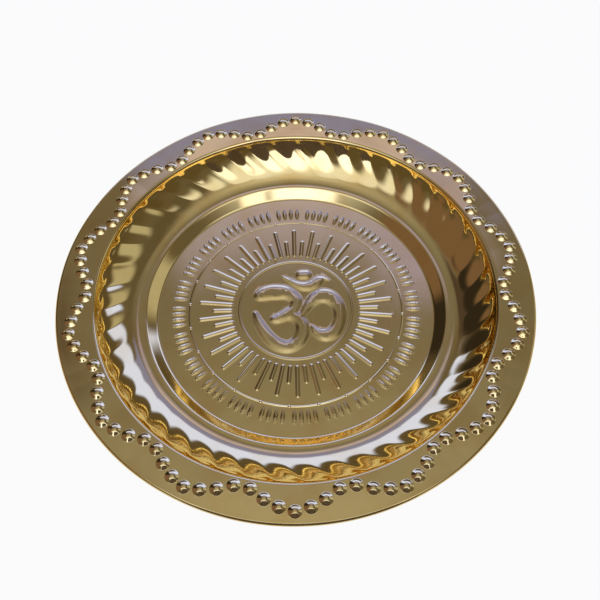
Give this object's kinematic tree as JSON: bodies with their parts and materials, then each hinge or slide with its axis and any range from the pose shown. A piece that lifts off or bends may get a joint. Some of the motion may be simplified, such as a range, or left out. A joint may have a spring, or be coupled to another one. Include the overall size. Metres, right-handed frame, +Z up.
{
  "type": "puja thali",
  "caption": "Round pressed brass altar plate with a beaded flat rim, a well walled with swirling flutes, and a flat floor struck with an Om in a sun and a leaf garland.",
  "frame": {"origin": "centre of the plate on the plane it stands on", "axes": "+Z up out of the well, +Y towards the crescent of the upright Om, +X to the Om's right"},
  "size_m": [0.2, 0.2, 0.0185],
  "materials": {
    "sheet_brass": "bright drawn sheet, buffed and lacquered",
    "struck_brass": "bright die-struck relief, lacquered"
  },
  "bodies": {
    "root": {"curled_edge": "sheet_brass", "rim": "sheet_brass", "rim_beads": "struck_brass", "well_lip": "sheet_brass", "fluted_wall": "sheet_brass", "cove": "sheet_brass", "step": "sheet_brass", "floor": "sheet_brass", "emblem_ring": "struck_brass", "long_rays": "struck_brass", "short_rays": "struck_brass", "om_figure": "struck_brass", "om_crescent": "struck_brass", "om_dot": "struck_brass", "garland_cords": "struck_brass", "garland_leaves": "struck_brass", "garland_buds": "struck_brass"}
  },
  "joints": []
}
